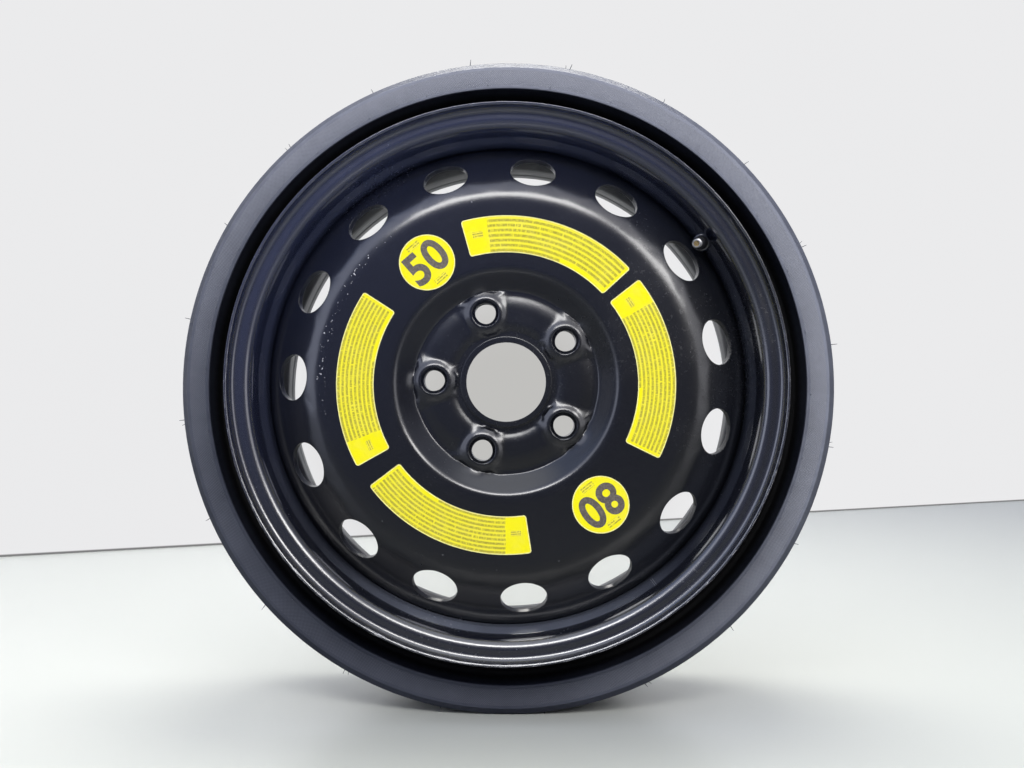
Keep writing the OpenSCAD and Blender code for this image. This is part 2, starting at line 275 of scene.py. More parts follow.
rimPaint = steelPaint("rimPaint", (0.0045, 0.0055, 0.0105), "lip")
rimBack = backPaint()
discPaint = steelPaint("discPaint", (0.0035, 0.004, 0.006), "crown")


def rubberFinish():
    f = Finish("tyreRubber", Roughness=0.5, Specular_IOR_Level=0.25)
    radius, angle, out = f.polar()
    cloud = f.step(f.noise(11, 5, 0.62), 0.35, 0.68)
    grain = f.noise(1100, 3, 0.6)
    face = ringMask(f, radius, 0.2695, 0.31, 0.0006) * f.step(out.to("ABSOLUTE"), 0.05, 0.058)
    crease = ringMask(f, radius, 0.2, 0.2676, 0.0006)
    brushed = f.noise(1.0, 3, 0.6, f.join(angle * 24, radius * 1500, 3))
    hatch = (radius * 3590).to("SINE") * (angle * 1010).to("SINE")
    band = ringMask(f, radius, 0.2725, 0.2868, 0.0004)
    weave = hatch * band * 0.5 + 0.5
    colour = f.blend(cloud, (0.020, 0.023, 0.036), (0.033, 0.037, 0.054))
    x, z = f.split(f.object)[::2]
    # painted light: the tyre's ring face is lighter towards the upper right and towards its outer edge, and darker
    # at the bottom and on the tread's edge, a painted sheen for light on its rounded face
    film = f.step(z * 0.75 + x * 0.5, -0.3, 0.28, 0.10, 1.5) * face * f.step(radius, 0.267, 0.288, 0.72, 1.15)
    film = film * f.step(radius, 0.2888, 0.291, 1.0, 0.4)
    patchy = 0.42 + brushed * 0.3 + f.step(f.noise(55, 4, 0.65), 0.3, 0.7) * 0.2
    colour = f.blend(film * patchy, colour, (0.18, 0.19, 0.235))
    colour = f.blend(film * band * weave * 0.7, colour, (0.22, 0.225, 0.25))
    # painted shade: the lower sidewall in the crease between the rim flange and the ring is coloured near black
    colour = f.blend(crease, colour, (0.006, 0.006, 0.007))
    relief = hatch * band * 1.2 + grain * 0.6 + brushed * face * 0.4
    rough = 0.36 + cloud * 0.12 + crease * 0.4
    return f.feed(Base_Color=colour, Roughness=rough, Normal=f.bump(relief, 0.0003, 0.5))


def valveRubberFinish():
    f = Finish("valveRubber", Roughness=0.5, Specular_IOR_Level=0.25)
    cloud = f.noise(240, 4, 0.6)
    colour = f.ramp(cloud, (0.3, (0.006, 0.0065, 0.009)), (0.7, (0.014, 0.015, 0.018)))
    return f.feed(Base_Color=colour, Roughness=0.4 + cloud * 0.3, Normal=f.bump(f.noise(2600, 2, 0.6), 0.0001, 0.5))


def metalFinish(name, light, dark, rough, scale):
    f = Finish(name, Metallic=1.0, Roughness=rough)
    stain = f.step(f.noise(scale, 4, 0.6), 0.35, 0.7)
    fine = f.noise(scale * 9, 2, 0.6)
    return f.feed(Base_Color=f.blend(stain, light, dark), Roughness=rough + stain * 0.2 + fine * 0.1,
                  Normal=f.bump(fine, 0.00006, 0.5))


def weldFinish():
    f = Finish("weldPaint", Roughness=0.3)
    scale = f.noise(180, 4, 0.65)
    colour = f.blend(f.step(scale, 0.45, 0.7), (0.008, 0.009, 0.012), (0.045, 0.034, 0.027))
    return f.feed(Base_Color=colour, Roughness=0.25 + scale * 0.35, Normal=f.bump(scale, 0.0005, 0.5))


tyreRubber = rubberFinish()
valveRubber = valveRubberFinish()
valveMetal = metalFinish("valveMetal", (0.74, 0.74, 0.75), (0.42, 0.42, 0.43), 0.28, 420)
coreBrass = metalFinish("coreBrass", (0.72, 0.55, 0.27), (0.38, 0.28, 0.15), 0.3, 520)
coreSteel = metalFinish("coreSteel", (0.6, 0.61, 0.63), (0.33, 0.33, 0.35), 0.25, 600)

# tyre
tyreSet = {"tread": 296.0, "shoulder": 64.0, "ring": 268.5, "wall": 6.4, "bands": 11.0, "steps": 180,
           "grooveDepth": 5.0, "grooveWide": 7.0, "foldIn": 33.0, "crease": 4.6, "sideWall": 16.0}


def tyrePoints(s):
    seat, edge, slope = 228.6, 82.5, math.tan(math.radians(5))
    tread, ring, shoulder, fold = s["tread"], s["ring"], s["shoulder"], s["foldIn"]
    outer = ring - s["sideWall"]
    inner = outer - s["wall"] + 0.5
    turn = (ring + s["wall"] - inner - 11.9) / 1.95
    groove, base, second = s["grooveWide"] / 2, tread - s["grooveDepth"], shoulder / 2
    skin = [(base, 0, 0), (base, groove, 0.8), (tread, groove, 0.8), (tread, second - groove, 0.8),
            (base, second - groove, 0.8), (base, second + groove, 0.8), (tread, second + groove, 0.8),
            (tread, shoulder - 7.5, 5), (tread - 5.8, shoulder - 2.6, 0.5), (tread - 6.4, shoulder - 1.9, 0.4),
            (ring + 3, shoulder - 0.25, 0.5), (ring + 2.4, shoulder + 0.4, 0.4), (ring, shoulder + 0.4, 1.0),
            (ring - 1, fold, s["crease"] / 2.2), (ring - 1 - s["crease"], fold, s["crease"] / 2.2),
            (outer, shoulder - 2, 7), (seat + 15.5, edge - 1.2, 5), (seat + 11, edge, 5), (seat, edge, 7),
            (seat - 17 * slope, edge - 17, 0.6)]
    lining = [(seat + 8, edge - 17, 4), (seat + 11.5, edge - 9.5, 1.8), (inner, shoulder - 4.5, 5),
              (inner + 10.9, fold - s["wall"], turn), (ring + s["wall"] - 1, fold - s["wall"], turn),
              (ring + s["wall"], shoulder - 15, 3.2), (tread - s["bands"], shoulder - 15, 3.2),
              (tread - s["bands"], 0, 0)]
    half = sidePoints(skin + lining)
    return half + [Vector((p.x, -p.y)) for p in reversed(half)][1:-1]


bm = bmesh.new()
spinSection(bm, tyrePoints(tyreSet), tyreSet["steps"])
makePiece("foldedTyre", bm, "wheel", tyreRubber, ["tyre"])
print("tyre made")

# rim
rimSet = {"half": 82.55, "seat": 228.6, "sheet": 3.0, "lip": 9.5, "height": 18.0, "over": 25.0, "hump": 20.5,
          "humpRise": 1.4, "discSeat": 219.5, "well": 211.5, "steps": 192, "sharp": 1.2, "rounding": 0.9,
          "glossTo": 30}


def rimCorners(s):
    middle = s["lip"] - s["sheet"] / 2
    reach = middle * math.tan(math.radians(90 + s["over"]) / 2) + 0.3
    lean = math.radians(s["over"])
    face = s["half"] + s["sheet"] / 2
    peak = s["seat"] + s["height"] - s["lip"] + middle * (
        math.cos(lean) + math.sin(lean) * math.tan(math.radians(90 + s["over"]) / 2))

    def seatLine(out):
        return s["seat"] - s["sheet"] / 2 - (s["half"] - out) * math.tan(math.radians(5))

    hump = s["half"] - s["hump"]
    half = [(peak - reach * math.sin(lean), face + reach * math.cos(lean), 0), (peak, face, middle),
            (seatLine(face), face, 8), (seatLine(hump + 3), hump + 3, 5), (seatLine(hump) + s["humpRise"], hump, 4)]
    bed, well = s["discSeat"] + s["sheet"] / 2, s["well"] + s["sheet"] / 2
    far = seatLine(hump) - 0.6
    return half + [(bed, hump - 8, 8), (bed, 14, 8), (well, 3, 8), (well, -8, 8), (far, -26, 10),
                   (far, -s["half"] + s["hump"] + 5, 5)] + [(r, -w, b) for r, w, b in reversed(half)]


bm = bmesh.new()
path = rimCorners(rimSet)
sheet = rimSet["sheet"] / 2
spinSection(bm, sidePoints(path, sheet) + sidePoints(path, -sheet)[::-1], rimSet["steps"])

valveSet = {"angle": 35.6, "tilt": 22, "seat": 217.5, "out": 60, "steps": 48, "stem": 3.85, "top": 30.5,
            "bore": 2.6, "duct": 1.6, "pitch": 0.9, "turns": 9, "threadSteps": 36}


def valvePlace():  # a frame at the valve's seat with Z along the stem
    turn, tilt = math.radians(valveSet["angle"]), math.radians(valveSet["tilt"])
    radial = Vector((math.cos(turn), 0, math.sin(turn)))
    side = Vector((-math.sin(turn), 0, math.cos(turn)))
    outward = Vector((0, -1, 0))
    place = Matrix((radial * math.cos(tilt) + outward * math.sin(tilt), side,
                    outward * math.cos(tilt) - radial * math.sin(tilt))).transposed().to_4x4()
    place.translation = onWheel(valveSet["seat"], valveSet["angle"], valveSet["out"])
    return place


def turnOnValve(bm, corners):  # corners are (radius, height, bend radius) on the valve
    made = [bm.verts.new((p.x * mm, 0, p.y * mm)) for p in sidePoints(corners, 0, 14)]
    outline = [bm.edges.new(pair) for pair in zip(made, made[1:] + made[:1])]
    bmesh.ops.spin(bm, geom=made + outline, cent=(0, 0, 0), axis=(0, 0, 1), angle=math.tau,
                   steps=valveSet["steps"], use_merge=True)


def seatOnValve(bm):
    bmesh.ops.transform(bm, matrix=valvePlace(), verts=bm.verts[:])
    bmesh.ops.recalc_face_normals(bm, faces=bm.faces[:])


cup = bmesh.new()  # the pocket round the valve's hole
turnOnValve(cup, [(5.7, -1, 0), (5.7, 0, 0.5), (7.9, 0, 1.6), (8.6, -14, 0), (6.9, -14, 0), (6.6, -2.4, 0.7),
                  (5.7, -2.4, 0)])
seatOnValve(cup)
cupMesh = bpy.data.meshes.new("cup")
cup.to_mesh(cupMesh)
cup.free()
bm.from_mesh(cupMesh)
lipEdges = [e for e in bm.edges if len(e.link_faces) == 2 and e.calc_face_angle(0) > rimSet["sharp"]]
bmesh.ops.bevel(bm, geom=lipEdges, offset=rimSet["rounding"] * mm, segments=3, profile=0.5, affect="EDGES",
                material=-1)
for face in bm.faces:
    face.material_index = int(face.calc_center_median().y > -rimSet["glossTo"] * mm)
wheelRim = makePiece("wheelRim", bm, "wheel", rimPaint, ["rim_barrel"])
wheelRim.data.materials.append(rimBack)
print("rim made")

# disc, cut as a flat blank and then pressed round the axle
discSet = {"sheet": 5.0, "columns": 120, "phase": 34.7, "boltCircle": 65.0, "boltHole": 9.3, "ball": 14.0,
           "seatEdge": 12.2, "boss": 2.6, "bossFoot": 20.5, "bossTop": 13.4, "vents": 15, "ventAt": 192.3,
           "ventWide": 42.0, "ventHigh": 33.0, "ventRoom": 22, "bolts": 5, "boltRoom": 19.6, "face": 60,
           "crown": 70, "crownEdge": 172.5, "wallSlope": 30, "rounding": 0.5}
crown, crownEdge = discSet["crown"], discSet["crownEdge"]
discEdge = rimSet["discSeat"] - discSet["sheet"] / 2
wallFoot = crown - (discEdge - crownEdge) * math.tan(math.radians(discSet["wallSlope"]))
discCorners = [(38.3, 62.5, 0), (38.3, 55.5, 3.2), (47, 55.5, 5), (53, 57.5, 22), (69.5, 57.5, 42),
               (79, 55.5, 10), (84.5, 55.5, 6), (101.5, crown, 9), (crownEdge, crown, 40),
               (discEdge, wallFoot, 10), (discEdge, 22, 0)]


def discLine(corners):  # points along the middle of the sheet with the length up to each
    points = sidePoints(corners, 0, 4)
    marks = [0.0]
    for a, b in zip(points, points[1:]):
        marks.append(marks[-1] + (b - a).length)
    return points, marks


linePoints, lineMarks = discLine(discCorners)


def lineAt(length, side):
    length = min(max(length, 0.0), lineMarks[-1])
    k = next(i for i in range(len(lineMarks) - 1) if length <= lineMarks[i + 1] + 1e-9)
    a, b = linePoints[k], linePoints[k + 1]
    share = (length - lineMarks[k]) / (lineMarks[k + 1] - lineMarks[k])

    def lean(i):
        before, after = linePoints[max(i - 1, 0)], linePoints[min(i + 1, len(linePoints) - 1)]
        line = (after - before).normalized()
        return Vector((-line.y, line.x))

    across = lean(k).lerp(lean(k + 1), share).normalized()
    return a.lerp(b, share) + across * side


def lengthAt(radius):  # where the sheet's middle line reaches this radius on its way out
    for i in range(len(linePoints) - 1):
        a, b = linePoints[i].x, linePoints[i + 1].x
        if a <= radius <= b and b > a:
            return lineMarks[i] + (radius - a) / (b - a) * (lineMarks[i + 1] - lineMarks[i])
    return lineMarks[-1]


def discStations():
    marks = [0.0]
    for a, b in zip(lineMarks, lineMarks[1:]):
        long = b - a
        if long > 3:
            count = max(2, round(long / 5.4))
            marks += [a + long * k / count for k in range(1, count + 1)]
        elif b - marks[-1] > 1.3:
            marks.append(b)
        elif long > 1 or b == lineMarks[-1]:
            marks[-1] = b
    return marks


def cutWindow(bm, column, centre, halfColumns, room, columnWide, shapes):  # the last shape is the opening
    inside = [f for f in bm.faces if abs(f.calc_center_median().x - column) < halfColumns
              and abs(f.calc_center_median().y - centre) < room]
    plate = bmesh.ops.dissolve_faces(bm, faces=inside, use_verts=True)["region"][0]
    for shape in shapes:
        bmesh.ops.inset_individual(bm, faces=[plate], thickness=0.02)
        for v in plate.verts:
            x, y = (v.co.x - column) * columnWide, v.co.y - centre
            turn = math.atan2(y, x)
            size = shape(turn)
            v.co.x = column + size * math.cos(turn) / columnWide
            v.co.y = centre + size * math.sin(turn)
    bmesh.ops.delete(bm, geom=[plate], context="FACES")


def ovalAt(grow):
    def size(turn):
        wide, high = discSet["ventWide"] / 2 + grow, discSet["ventHigh"] / 2 + grow
        return wide * high / math.hypot(high * math.cos(turn), wide * math.sin(turn))
    return size


def roundAt(radius):
    return lambda turn: radius


def pressDisc(s):
    stations = discStations()
    rows = len(stations) - 1
    columnTurn = math.tau / s["columns"]
    bm = bmesh.new()
    bmesh.ops.create_grid(bm, x_segments=s["columns"], y_segments=rows, size=0.5)
    for v in bm.verts:
        v.co.x = round((v.co.x + 0.5) * s["columns"])
        v.co.y = stations[round((v.co.y + 0.5) * rows)]
    ventMid, boltMid = lengthAt(s["ventAt"]), lengthAt(s["boltCircle"])
    for k in range(s["vents"]):
        cutWindow(bm, 4 + 8 * k, ventMid, 3, s["ventRoom"], columnTurn * s["ventAt"], [ovalAt(3.5), ovalAt(0)])
    for k in range(s["bolts"]):
        cutWindow(bm, 12 + 24 * k, boltMid, 6, s["boltRoom"], columnTurn * s["boltCircle"],
                  [roundAt(r) for r in (18.8, 16.9, 15.1, s["bossTop"], 12.3, 11.9, 10.7, s["boltHole"] + 0.2,
                                        s["boltHole"])])
    whole = bmesh.ops.extrude_face_region(bm, geom=bm.faces[:])["geom"]
    bmesh.ops.translate(bm, verts=[g for g in whole if isinstance(g, bmesh.types.BMVert)], vec=(0, 0, 1))
    ends = [f for f in bm.faces if all(v.co.x < 0.01 for v in f.verts)
            or all(v.co.x > s["columns"] - 0.01 for v in f.verts)]
    bmesh.ops.delete(bm, geom=ends, context="FACES")
    for v in bm.verts:
        front = v.co.z > 0.5
        point = lineAt(v.co.y, s["sheet"] / 2 if front else -s["sheet"] / 2)
        angle = s["phase"] + (v.co.x - 12) * 3
        rise = 0.0
        if front:
            nearest = round((v.co.x - 12) / 24) * 24 + 12
            bolt = onWheel(s["boltCircle"], s["phase"] + (nearest - 12) * 3, 0) * 1000
            here = onWheel(point.x, angle, 0) * 1000
            far = (here - bolt).length
            if far < s["bossFoot"]:
                share = min(1.0, (s["bossFoot"] - far) / (s["bossFoot"] - s["bossTop"]))
                rise = s["boss"] * share * share * (3 - 2 * share)
                level = s["face"] + rise
                if far < s["seatEdge"]:
                    level = s["face"] + s["boss"] - (math.sqrt(s["ball"] ** 2 - far ** 2) - s["ball"] / 2)
                rise = level - point.y
        v.co = onWheel(point.x, angle, point.y + rise)
    bmesh.ops.remove_doubles(bm, verts=bm.verts[:], dist=2e-5)
    bmesh.ops.recalc_face_normals(bm, faces=bm.faces[:])
    return bm


wheelDisc = makePiece("wheelDisc", pressDisc(discSet), "wheel", discPaint, ["disc"], 50)
addSmoothing(wheelDisc, discSet["rounding"] * mm)
print("disc made")

# weld beads where the disc meets the rim
weldSet = {"radius": 217.2, "out": 20.0, "size": 3.4, "start": 20, "span": 50.0, "ripples": 46}
bm = bmesh.new()
for k in range(4):
    ring = bmesh.ops.create_circle(bm, cap_ends=True, segments=10, radius=weldSet["size"] * mm)["verts"]
    start = k * 90 + weldSet["start"]
    bmesh.ops.translate(bm, verts=ring, vec=(weldSet["radius"] * mm, -weldSet["out"] * mm, 0))
    bmesh.ops.rotate(bm, verts=ring, matrix=Matrix.Rotation(math.radians(-start), 3, "Y"))
    disk = list({f for v in ring for f in v.link_faces})
    bmesh.ops.spin(bm, geom=disk, cent=(0, 0, 0), axis=(0, -1, 0), angle=math.radians(weldSet["span"]),
                   steps=weldSet["ripples"] * 4)
for v in bm.verts:
    radius, turn = math.hypot(v.co.x, v.co.z), math.atan2(v.co.z, v.co.x)
    swell = 1 + 0.16 * math.sin(turn * weldSet["ripples"] * 7.2) + 0.12 * noise.noise(v.co * 90)
    middle = Vector((math.cos(turn) * weldSet["radius"] * mm, -weldSet["out"] * mm,
                     math.sin(turn) * weldSet["radius"] * mm))
    v.co = middle + (v.co - middle) * swell
bmesh.ops.recalc_face_normals(bm, faces=bm.faces[:])
makePiece("weldBeads", bm, "wheel", weldFinish(), ["disc_welds"])

# moulding hairs left on the tyre
hairSet = {"long": 8.0, "thick": 0.42, "shoulder": 20, "shoulderAt": 294.3, "shoulderOut": 53, "crease": 30,
           "creaseAt": 272.5, "creaseOut": 63}
bm = bmesh.new()


def addHair(start, lean, length, thick):
    grown = bmesh.ops.create_cone(bm, cap_ends=True, segments=7, radius1=thick * mm, radius2=thick * mm / 2,
                                  depth=length * mm)["verts"]
    turn = (lean / mm).to_track_quat("Z", "Y").to_matrix()
    bmesh.ops.translate(bm, verts=grown, vec=(0, 0, length * mm / 2))
    bmesh.ops.rotate(bm, verts=grown, matrix=turn)
    bmesh.ops.translate(bm, verts=grown, vec=start)


for k in range(hairSet["shoulder"]):
    turn = 6.6 + 18 * k
    lean = onWheel(1, turn, 0) + onWheel(chance.uniform(-0.28, 0.28), turn + 90, chance.uniform(-0.2, 0.35))
    root = onWheel(hairSet["shoulderAt"], turn, hairSet["shoulderOut"])
    addHair(root, lean, hairSet["long"] * chance.uniform(0.72, 0.97), hairSet["thick"])
    if k % 3 == 1:
        root = onWheel(hairSet["shoulderAt"], turn + 0.6, hairSet["shoulderOut"])
        addHair(root, lean + onWheel(0.4, turn + 90, 0.2), 5, 0.32)
for k in range(hairSet["crease"]):
    turn = 9.5 + 12 * k
    lean = onWheel(chance.uniform(-0.3, -0.05), turn, 1) + onWheel(chance.uniform(-0.3, 0.3), turn + 90, 0)
    root = onWheel(hairSet["creaseAt"], turn, hairSet["creaseOut"])
    addHair(root, lean, chance.uniform(2.2, 3.2), hairSet["thick"])
bmesh.ops.recalc_face_normals(bm, faces=bm.faces[:])
makePiece("tyreHairs", bm, "wheel", tyreRubber, ["tyre"])

# valve
bm = bmesh.new()
turnOnValve(bm, [(3.45, -5, 0), (4.8, -5, 0.4), (6.4, -2.4, 0.3), (5.63, -2.3, 0.2), (5.63, 0, 0.2),
                 (6.4, 0.05, 0.6), (6.35, 4, 0.5), (5.8, 18, 1.4), (4.5, 20, 0.7), (3.87, 20, 0.1),
                 (3.85, 19.8, 0.1), (3.45, 19.7, 0)])
seatOnValve(bm)
makePiece("valveBody", bm, "wheel", valveRubber, ["valve_rubber"])
bm = bmesh.new()
top, stem, bore, duct = (valveSet[k] for k in ("top", "stem", "bore", "duct"))
turnOnValve(bm, [(duct, -3, 0), (3.45, -3, 0.2), (3.45, 19.8, 0.1), (stem, 19.8, 0.1), (stem, 21.2, 0.2),
                 (stem - 0.42, 21.6, 0.1), (stem - 0.42, top - 0.9, 0.1), (stem - 0.1, top - 0.7, 0.1),
                 (stem - 0.6, top, 0.15), (bore, top, 0.1), (bore, top - 12, 0.1), (duct, top - 12, 0.1)])
tooth = [bm.verts.new((r * mm, 0, z * mm)) for r, z in
         ((stem - 0.5, 21.3), (stem, 21.62), (stem, 21.78), (stem - 0.5, 22.1))]
threadTurns, threadSteps = valveSet["turns"], valveSet["threadSteps"]
bmesh.ops.spin(bm, geom=[bm.faces.new(tooth)], cent=(0, 0, 0), axis=(0, 0, 1), angle=math.tau * threadTurns,
               steps=threadSteps * threadTurns, dvec=(0, 0, valveSet["pitch"] * mm / threadSteps))
seatOnValve(bm)
makePiece("valveStem", bm, "wheel", valveMetal, ["valve_stem"], 30)
for name, finish in (("core_housing", coreBrass), ("core_pin", coreBrass), ("core_spring", coreSteel)):
    slots = cadNodes[name].data.materials
    slots.clear()
    slots.append(finish)
print("valve made")

# labels
labelSet = {"inner": 117.8, "outer": 151.4, "corner": 2.5, "film": 0.2, "face": 72.5, "shift": (-0.3, -1.9),
            "edge": 0.9, "dot": 25.3, "digits": (0.0385, 0.0305)}
# from and to which angle, rows of print
arcSet = {"label_top": (42.5, 105.5, 7.4), "label_left": (147, 209.3, 9.0), "label_bottom": (217, 278.8, 9.0),
          "label_right": (333.8, 398, 9.0)}
# radius and angle of the centre, number, lean
dotSet = {"label_round_upper": (128.3, 123.5, "50", 41.5), "label_round_lower": (137.5, 307.5, "80", 218)}


def printInk(f, u, v, pitch):  # rows of broken marks the size of small print
    row = v.to("FLOOR")
    inside = v - row
    letters = f.step(f.noise(1.0, 2, 0.6, f.join(u * pitch, row * 9.13 + inside * 2.4, 0.5)), 0.36, 0.5)
    gaps = f.step(f.noise(1.0, 1, 0.5, f.join(u * pitch * 0.3, row * 5.7, 4.2)), 0.3, 0.36)
    return letters * gaps * f.step(inside, 0.12, 0.24) * f.step(inside, 0.66, 0.78, 1.0, 0.0)


def filmFinish(name, isArc):
    f = Finish(name, Roughness=0.35, Specular_IOR_Level=0.3, Coat_Weight=0.08, Coat_Roughness=0.15)
    u, v = f.split(f.node("ShaderNodeUVMap", {"uv_map": "film"}))[:2]
    plain = (0.84, 0.76, 0.004)
    faded = (0.79, 0.70, 0.055)
    stain = f.step(f.noise(90, 4, 0.6), 0.4, 0.75)
    if isArc:
        head = f.step(u, 14.2, 14.5)
        strip = f.step(v, 1.0, 1.06) + f.step(u, 62, 62.5, 1.0, 0.0)
        area = head * strip.to("MINIMUM", 1.0) * f.step(u, 97.6, 98, 1.0, 0.0)
        ink = printInk(f, u, v, 4.0) * area
        patch = ringMask(f, u, 5.0, 11.0, 0.2) * ringMask(f, v, 3.4, 4.6, 0.1)
        ink = ink.to("MAXIMUM", printInk(f, u, v * 2.0, 3.4) * patch)
        pale = (area * 0.55).to("MAXIMUM", patch * 0.8)
    else:
        patch = ringMask(f, u.to("ABSOLUTE"), -1, 6.2, 0.3) * ringMask(f, v.to("ABSOLUTE"), 16.8, 21.2, 0.3)
        ink = printInk(f, u, v * 0.46, 0.9) * patch
        pale = patch * 0.6
    colour = f.blend(pale, plain, faded)
    colour = f.blend(stain * 0.12, colour, (0.6, 0.55, 0.2))
    colour = f.blend(ink * 0.62, colour, (0.13, 0.105, 0.035))
    return f.feed(Base_Color=colour, Roughness=0.3 + stain * 0.2, Normal=f.bump(f.noise(700, 2, 0.5), 0.00008, 0.3))


def edgeFinish():
    f = Finish("labelEdge", Roughness=0.4)
    worn = f.step(f.noise(420, 3, 0.6), 0.4, 0.7)
    return f.feed(Base_Color=f.blend(worn, (0.84, 0.80, 0.30), (0.70, 0.63, 0.22)), Roughness=0.35 + worn * 0.2)


def numeralFinish():
    f = Finish("numeralInk", Roughness=0.45)
    worn = f.step(f.noise(600, 3, 0.6), 0.35, 0.75)
    return f.feed(Base_Color=f.blend(worn, (0.085, 0.072, 0.062), (0.16, 0.14, 0.115)), Roughness=0.4 + worn * 0.2)


arcFilm, dotFilm = filmFinish("arcFilm", True), filmFinish("dotFilm", False)
labelEdge, numeralInk = edgeFinish(), numeralFinish()


def thickenFilm(bm):  # lifts the cut film off the crown and marks a pale border
    lifted = bmesh.ops.extrude_face_region(bm, geom=bm.faces[:])["geom"]
    bmesh.ops.translate(bm, verts=[g for g in lifted if isinstance(g, bmesh.types.BMVert)],
                        vec=(0, -labelSet["film"] * mm, 0))
    front = [g for g in lifted if isinstance(g, bmesh.types.BMFace)]
    for face in bm.faces:
        face.material_index = 1
    bmesh.ops.inset_region(bm, faces=front, thickness=labelSet["edge"] * mm, use_even_offset=True)
    for face in front:
        face.material_index = 0
    bmesh.ops.recalc_face_normals(bm, faces=bm.faces[:])


def mapFilm(bm, rule):
    film = bm.loops.layers.uv.new("film")
    for face in bm.faces:
        for loop in face.loops:
            loop[film].uv = rule(loop.vert.co * 1000)


for name, (low, high, rows) in arcSet.items():
    bm = bmesh.new()
    ends = [bm.verts.new(onWheel(labelSet[k], low, labelSet["face"])) for k in ("inner", "outer")]
    bmesh.ops.spin(bm, geom=[*ends, bm.edges.new(ends)], cent=(0, 0, 0), axis=(0, -1, 0), steps=30,
                   angle=math.radians(high - low))
    tips = [v for v in bm.verts if len(v.link_edges) == 2]
    bmesh.ops.bevel(bm, geom=tips, offset=labelSet["corner"] * mm, segments=5, profile=0.5, affect="VERTICES",
                    material=-1)
    thickenFilm(bm)

    def onArc(co, low=low, high=high, rows=rows):
        turn = math.degrees(math.atan2(co.z, co.x)) % 360
        turn += 360 if turn < low - 20 else 0
        share = (math.hypot(co.x, co.z) - labelSet["inner"]) / (labelSet["outer"] - labelSet["inner"])
        return (high - turn) / (high - low) * 100, share * rows

    mapFilm(bm, onArc)
    bmesh.ops.translate(bm, verts=bm.verts[:], vec=(labelSet["shift"][0] * mm, 0, labelSet["shift"][1] * mm))
    arc = makePiece(name.replace("label_", "arcLabel_"), bm, "wheel", arcFilm, [name], 60)
    arc.data.materials.append(labelEdge)
for name, (radius, turn, digits, lean) in dotSet.items():
    bm = bmesh.new()
    bmesh.ops.create_circle(bm, cap_ends=True, segments=96, radius=labelSet["dot"] * mm)
    bmesh.ops.rotate(bm, verts=bm.verts[:], matrix=Matrix.Rotation(math.radians(90), 3, "X"))
    thickenFilm(bm)
    mapFilm(bm, lambda co: (co.x, co.z))
    place = Matrix.Translation(onWheel(radius, turn, labelSet["face"]))
    place = place @ Matrix.Rotation(math.radians(-lean), 4, "Y")
    bmesh.ops.transform(bm, matrix=place, verts=bm.verts[:])
    dot = makePiece(name.replace("label_round", "roundLabel"), bm, "wheel", dotFilm, [name], 60)
    dot.data.materials.append(labelEdge)
    words = bpy.data.curves.new("digits", "FONT")
    words.body = digits
    words.size = 0.04
    words.offset = 0.0011
    words.space_character = 1.06
    words.resolution_u = 12
    words.fill_mode = "FRONT"
    lettering = bpy.data.objects.new("digits", words)
    scene.collection.objects.link(lettering)
    bpy.context.view_layer.update()
    bm = bmesh.new()
    bm.from_mesh(lettering.evaluated_get(bpy.context.evaluated_depsgraph_get()).to_mesh())
    bpy.data.objects.remove(lettering)
    lo = Vector([min(v.co[i] for v in bm.verts) for i in range(3)])
    hi = Vector([max(v.co[i] for v in bm.verts) for i in range(3)])
    bmesh.ops.translate(bm, verts=bm.verts[:], vec=-(lo + hi) / 2)
    wide, high = labelSet["digits"]
    bmesh.ops.scale(bm, verts=bm.verts[:], vec=(wide / (hi.x - lo.x), high / (hi.y - lo.y), 1))
    bmesh.ops.rotate(bm, verts=bm.verts[:], matrix=Matrix.Rotation(math.radians(90), 3, "X"))
    bmesh.ops.translate(bm, verts=bm.verts[:], vec=(0, -(labelSet["film"] + 0.04) * mm, mm))
    bmesh.ops.transform(bm, matrix=place, verts=bm.verts[:])
    makePiece(name.replace("label_round", "numerals"), bm, "wheel", numeralInk, [name])
print("labels made")

# floor and wall behind
stageSet = {"floor": -0.2961, "half": 6, "wallBack": 1.61, "wallTurn": 30}
floorHigh, stageHalf = stageSet["floor"], stageSet["half"]


def stagePlane(name, size, place, turn, colour, rough, mirrored):  # mirrored is how much of it shiny faces show
    bm = bmesh.new()
    bmesh.ops.create_grid(bm, x_segments=1, y_segments=1, size=size)
    bmesh.ops.rotate(bm, verts=bm.verts[:], matrix=turn)
    bmesh.ops.translate(bm, verts=bm.verts[:], vec=place)
    mesh = bpy.data.meshes.new(name)
    bm.to_mesh(mesh)
    bm.free()
    made = bpy.data.objects.new(name, mesh)
    scene.collection.objects.link(made)
    f = Finish(name, Roughness=rough)
    shade = f.blend(f.noise(1.6, 4, 0.6), tuple(c * 0.97 for c in colour), colour)
    glossy = f.node("ShaderNodeLightPath", out="Is Glossy Ray")
    shade = f.blend(glossy, shade, tuple(c * mirrored for c in colour))
    mesh.materials.append(f.feed(Base_Color=shade))
    return made


stagePlane("paleFloor", stageHalf, (0, 0, floorHigh), Matrix.Identity(3), (0.545, 0.56, 0.515), 0.28, 0.2)
upright = Matrix.Rotation(math.radians(stageSet["wallTurn"]), 3, "Z") @ Matrix.Rotation(math.radians(90), 3, "X")
paleWall = stagePlane("paleWall", stageHalf, (0, stageSet["wallBack"], 0), upright, (0.80, 0.80, 0.80), 0.6, 1)


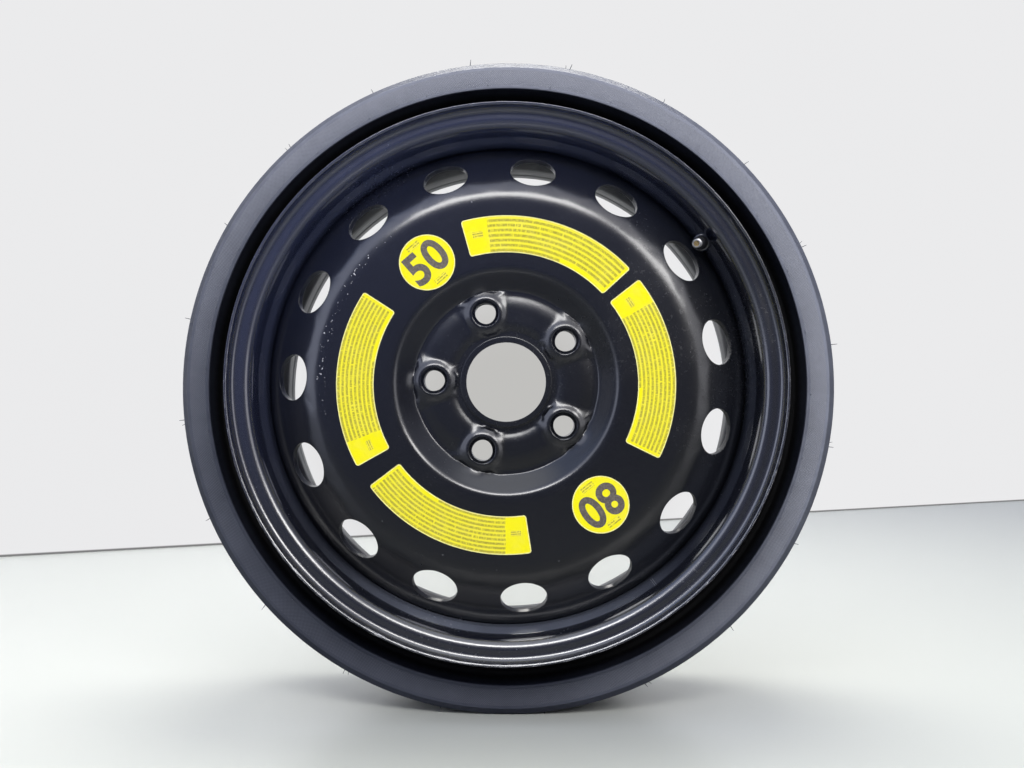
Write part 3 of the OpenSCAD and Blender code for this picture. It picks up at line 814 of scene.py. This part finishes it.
def shownPlain(made, colour, paintedShadow):  # shown evenly pale, with a painted shadow of the wheel round the axle and a painted shade line along the floor
    f = Finish("paleWallShown")
    x, z = f.split(f.object)[::2]
    # painted shadow: the wall darkens towards the axle, where the wheel's shadow falls
    near = f.step((x * x + z * z).to("SQRT"), 0.15, 0.6, 1.0, 0.0)
    shade = f.blend(near, f.blend(f.noise(1.2, 4, 0.6), tuple(c * 0.985 for c in colour), colour), paintedShadow)
    # painted shade: a thin dark line along the foot of the wall, where it meets the floor
    shade = f.blend(f.step(z, floorHigh + 0.003, floorHigh + 0.006, 0.85, 0.0), shade, (0.10, 0.10, 0.10))
    glow = f.node("ShaderNodeEmission", None, [shade])
    seen = f.node("ShaderNodeLightPath", out="Is Camera Ray")
    mixed = f.node("ShaderNodeMixShader", None, [seen, Wire(f, f.surface.outputs[0]), glow])
    f.feed(Base_Color=shade)
    f.tree.links.new(mixed.socket, f.tree.nodes["Material Output"].inputs["Surface"])
    made.data.materials[0] = f.material


shownPlain(paleWall, (0.835, 0.835, 0.845), (0.53, 0.525, 0.51))


# light
class Studio(Finish):
    def __init__(self, world):
        self.tree = world.node_tree
        self.object = self.node("ShaderNodeTexCoord", out="Generated")


world = bpy.data.worlds.new("studio")
scene.world = world
world.use_nodes = True
sky = Studio(world)
x, y, z = sky.split(sky.object)
ahead = 0 - y
ring = sky.step(ahead, 0.42, 0.55) * sky.step(ahead, 0.72, 0.82, 1.0, 0.0) * sky.step(z, -0.35, 0.0, 0.3, 1.0)
around = sky.blend(sky.step(x, -0.4, 0.4), (1.45, 1.55, 1.95), (1.5, 1.5, 1.6))
plain = sky.blend(sky.step(x, -0.6, 0.6), (0.14, 0.16, 0.26), (0.09, 0.09, 0.11))
above = sky.blend(sky.step(x, -0.7, 0.7), (0.55, 0.66, 1.00), (0.38, 0.40, 0.50))
above = sky.blend(sky.step(z, 0.8, 0.95), above, (1.3, 1.35, 1.5))
room = sky.blend(ring, sky.blend(sky.step(z, 0.25, 0.7), plain, above), around)
room = sky.blend(sky.node("ShaderNodeLightPath", out="Is Camera Ray"), room, (0.80, 0.80, 0.81))
ground = world.node_tree.nodes["Background"]
world.node_tree.links.new(room.socket, ground.inputs["Color"])
ground.inputs["Strength"].default_value = 1.0


def softLamp(name, place, target, size, power, tint):
    data = bpy.data.lights.new(name, "AREA")
    data.shape = "RECTANGLE"
    data.size, data.size_y = size
    data.energy = power
    data.color = tint
    made = bpy.data.objects.new(name, data)
    scene.collection.objects.link(made)
    made.location = place
    made.rotation_mode = "QUATERNION"
    made.rotation_quaternion = (Vector(target) - Vector(place)).to_track_quat("-Z", "Y")


softLamp("windowLamp", (-0.1, -2.4, 1.85), (0, 0, 0), (1.9, 0.6), 40, (1, 0.985, 0.96))
softLamp("sideLamp", (1.35, -2.15, 1.25), (0, 0, 0), (0.9, 0.6), 17, (1, 0.985, 0.97))
softLamp("ceilingLamp", (0.1, 0.42, 2.0), (0, 0, -0.3), (1.4, 0.8), 38, (1, 0.985, 0.93))
print("stage and light made")

scene.view_settings.view_transform = "Standard"
